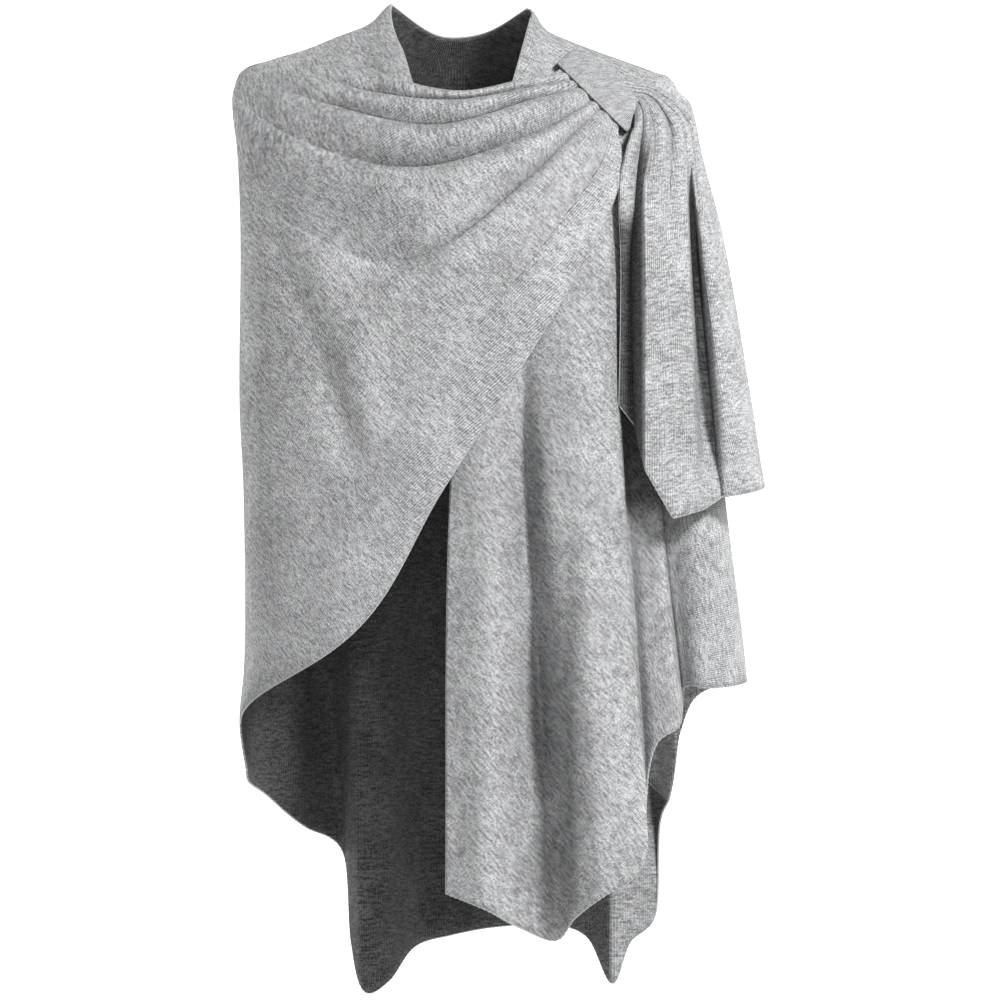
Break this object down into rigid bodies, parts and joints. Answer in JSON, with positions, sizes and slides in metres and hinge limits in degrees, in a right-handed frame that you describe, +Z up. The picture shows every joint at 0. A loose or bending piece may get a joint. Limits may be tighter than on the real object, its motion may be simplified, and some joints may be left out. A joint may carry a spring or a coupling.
{
  "type": "knitted poncho wrap",
  "caption": "Open-front knitted cape worn wrapped: one front is drawn across the chest through a shoulder loop and falls over the arm.",
  "frame": {"origin": "on the shoulder line, at the middle of the chest between front and back, where the wearer's shoulders hold it up", "axes": "+Z up, -Y to the front of the garment, +X to the wearer's left"},
  "size_m": [0.509, 0.319, 0.9471],
  "materials": {
    "back_knit": "fine rib knit, heather grey, darker inside",
    "left_front_knit": "fine rib knit, light heather grey",
    "right_front_knit": "fine rib knit, light heather grey",
    "loop_knit": "plain knit band, light heather grey"
  },
  "bodies": {
    "root": {"back": "back_knit", "left_front": "left_front_knit", "right_front": "right_front_knit", "shoulder_loop": "loop_knit"}
  },
  "joints": []
}
